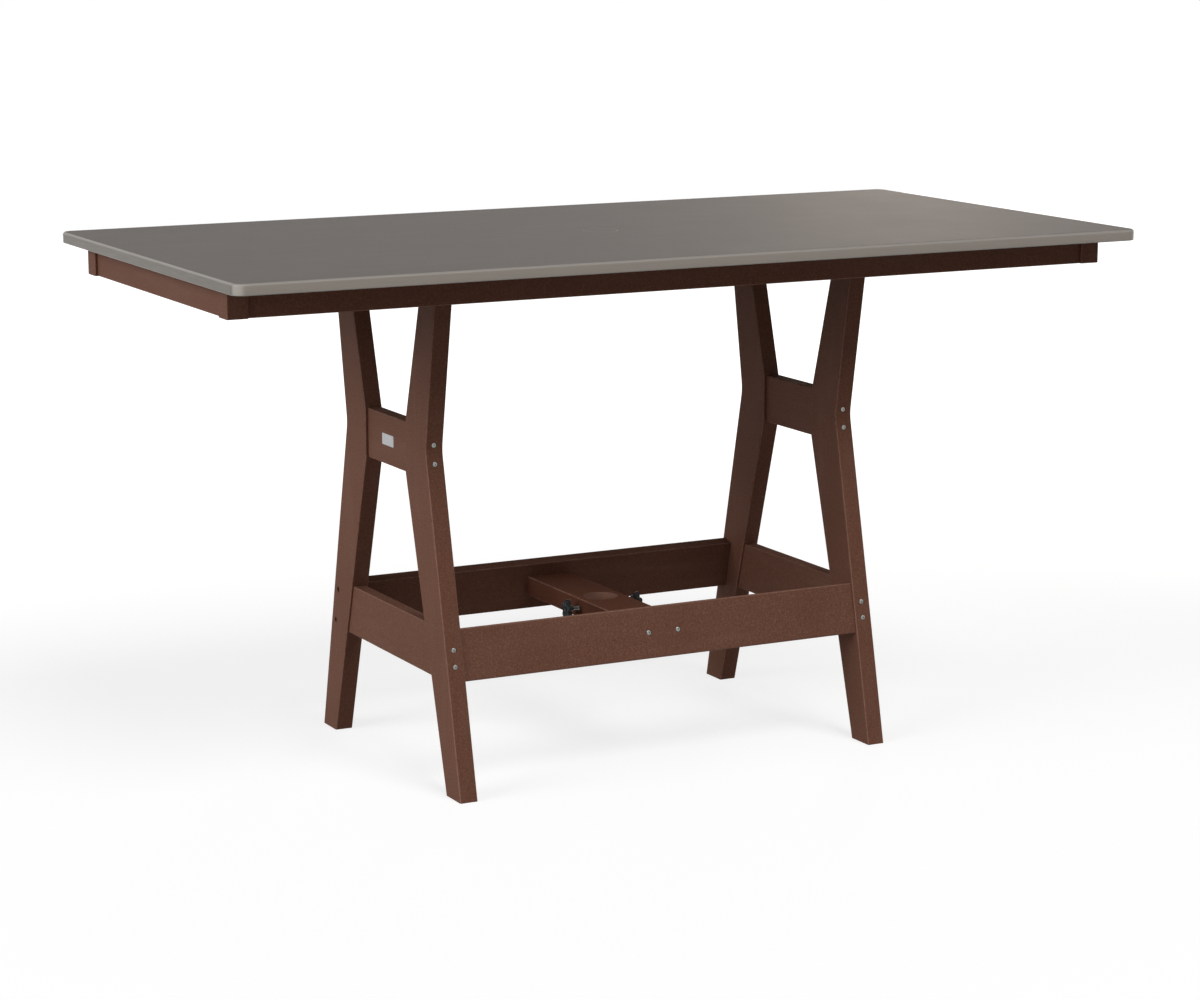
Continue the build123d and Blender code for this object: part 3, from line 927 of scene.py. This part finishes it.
# The back stretcher takes the deeper tones, painted shade
back_board = brown_board("brown_board_back_lean_painted_shade", grain_along_x, back_lean, tones=shaded_rear_tones)
node_finish = {
    "hole_plug": sheet,
    "umbrella_bracket": flat_board,
    "front_apron": long_board,
    "back_apron": long_board,
    "front_stretcher": front_board,
    "back_stretcher": back_board,
    "apron_dowels": stud_steel,
    "front_stretcher_dowels": stud_steel,
}
for end in ("left", "right"):
    node_finish[f"{end}_thread_insert"] = brass
    for board in ("end_apron", "cross_rail", "knee_brace", "end_stretcher"):
        node_finish[f"{end}_{board}"] = cross_board
    for face in ("front", "back"):
        node_finish[f"{face}_{end}_leg"] = upright_board
        node_finish[f"{face}_{end}_corner_post"] = upright_board
for node, material in node_finish.items():
    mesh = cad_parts[node].data
    mesh.materials.clear()
    mesh.materials.append(material)

# Floor, world and lamps
floor_half = 9.0
floor_level = -0.0005
floor_lift = 0.76
floor_even_radius = 1.5
floor_white_radius = 4.0
world_level = 0.13
sun_distance = 4.0


def seen_directly(tree):
    """One for rays that show a surface to the eye: straight, mirrored or through glass."""
    path = node_of(tree, "ShaderNodeLightPath")
    seen = maths(tree, "MAXIMUM", path.outputs["Is Camera Ray"], path.outputs["Is Glossy Ray"])
    return maths(tree, "MAXIMUM", seen, path.outputs["Is Transmission Ray"])


def pale_floor():
    """A floor that keeps the table's shadow, fades into white, and is clear from below."""
    mesh = bpy.data.meshes.new("pale_floor")
    corner_signs = ((-1, -1), (1, -1), (1, 1), (-1, 1))
    corners = [(x * floor_half, y * floor_half, floor_level) for x, y in corner_signs]
    mesh.from_pydata(corners, [], [(0, 1, 2, 3)])
    floor = bpy.data.objects.new("pale_floor", mesh)
    bpy.context.scene.collection.objects.link(floor)
    material, tree, shader, place = new_material("pale_floor")
    seen = seen_directly(tree)
    away = away_from_pole(tree, place)
    fade = spread(tree, away, floor_even_radius, floor_white_radius, floor_lift, 1.0)
    feed(tree, mixed(tree, seen, floor_bounce, floor_pale), shader.inputs["Base Color"])
    shader.inputs["Roughness"].default_value = 0.9
    shader.inputs["Specular IOR Level"].default_value = 0.0
    shader.inputs["Emission Color"].default_value = white
    feed(tree, times(tree, seen, fade), shader.inputs["Emission Strength"])
    below = node_of(tree, "ShaderNodeNewGeometry").outputs["Backfacing"]
    one_sided = node_of(tree, "ShaderNodeMixShader")
    feed(tree, below, one_sided.inputs["Fac"])
    feed(tree, shader.outputs["BSDF"], one_sided.inputs[1])
    feed(tree, node_of(tree, "ShaderNodeBsdfTransparent").outputs["BSDF"], one_sided.inputs[2])
    feed(tree, one_sided.outputs["Shader"], tree.nodes["Material Output"].inputs["Surface"])
    mesh.materials.append(material)


def studio_world():
    """Surroundings that look white and light the table softly."""
    world = bpy.data.worlds.new("studio")
    bpy.context.scene.world = world
    world.use_nodes = True
    tree = world.node_tree
    background = tree.nodes["Background"]
    background.inputs["Color"].default_value = white
    strength = times_plus(tree, seen_directly(tree), 1.0 - world_level, world_level)
    feed(tree, strength, background.inputs["Strength"])


def soft_sun(name, azimuth, elevation, strength, width, tint):
    """An even, soft light from far off; azimuth turns from the front towards the right."""
    lamp = bpy.data.lights.new(name, "SUN")
    lamp.energy = strength
    lamp.color = tint
    lamp.angle = math.radians(width)
    turn, rise = math.radians(azimuth), math.radians(elevation)
    way = Vector((math.sin(turn) * math.cos(rise), -math.cos(turn) * math.cos(rise), math.sin(rise)))
    sun = bpy.data.objects.new(name, lamp)
    sun.location = way * sun_distance
    sun.rotation_euler = way.to_track_quat("Z", "Y").to_euler()
    bpy.context.scene.collection.objects.link(sun)


def softbox(name, place, target, width, height, power, tint):
    """A lit panel that faces a target."""
    lamp = bpy.data.lights.new(name, "AREA")
    lamp.shape = "RECTANGLE"
    lamp.size, lamp.size_y = width, height
    lamp.energy = power
    lamp.color = tint
    box = bpy.data.objects.new(name, lamp)
    box.location = place
    box.rotation_euler = (Vector(target) - Vector(place)).to_track_quat("-Z", "Y").to_euler()
    box.visible_camera = False
    bpy.context.scene.collection.objects.link(box)


pale_floor()
studio_world()
soft_sun("left_light", azimuth=-84.0, elevation=22.0, strength=1.88, width=40.0, tint=(0.97, 1.0, 1.01))
soft_sun("front_light", azimuth=8.0, elevation=52.0, strength=1.62, width=28.0, tint=(1.0, 0.985, 0.97))
softbox(
    "corner_panel",
    place=(-3.4, -2.9, 0.9),
    target=(-0.9, -0.45, 0.98),
    width=0.7,
    height=0.9,
    power=5.0,
    tint=(1.0, 1.0, 1.0),
)
softbox(
    "back_sheen_panel",
    place=(3.75, 4.68, 1.75),
    target=(0.5, 0.0, 0.98),
    width=0.8,
    height=1.4,
    power=40.0,
    tint=(1.0, 0.86, 0.72),
)

# Camera, at the photo's viewing angle
photo_width = 1200
photo_focal_pixels = 3202.29
sensor_millimetres = 36.0
camera_place = (-2.79046, -5.37341, 1.63938)
camera_tilt_down = 0.1919
camera_turn = -0.4788
camera_data = bpy.data.cameras.new("photo_camera")
camera_data.sensor_width = sensor_millimetres
camera_data.lens = sensor_millimetres * photo_focal_pixels / photo_width
camera = bpy.data.objects.new("photo_camera", camera_data)
camera.location = camera_place
camera.rotation_euler = (math.pi / 2 - camera_tilt_down, 0.0, camera_turn)
bpy.context.scene.collection.objects.link(camera)
bpy.context.scene.camera = camera
bpy.context.scene.view_settings.view_transform = "Standard"
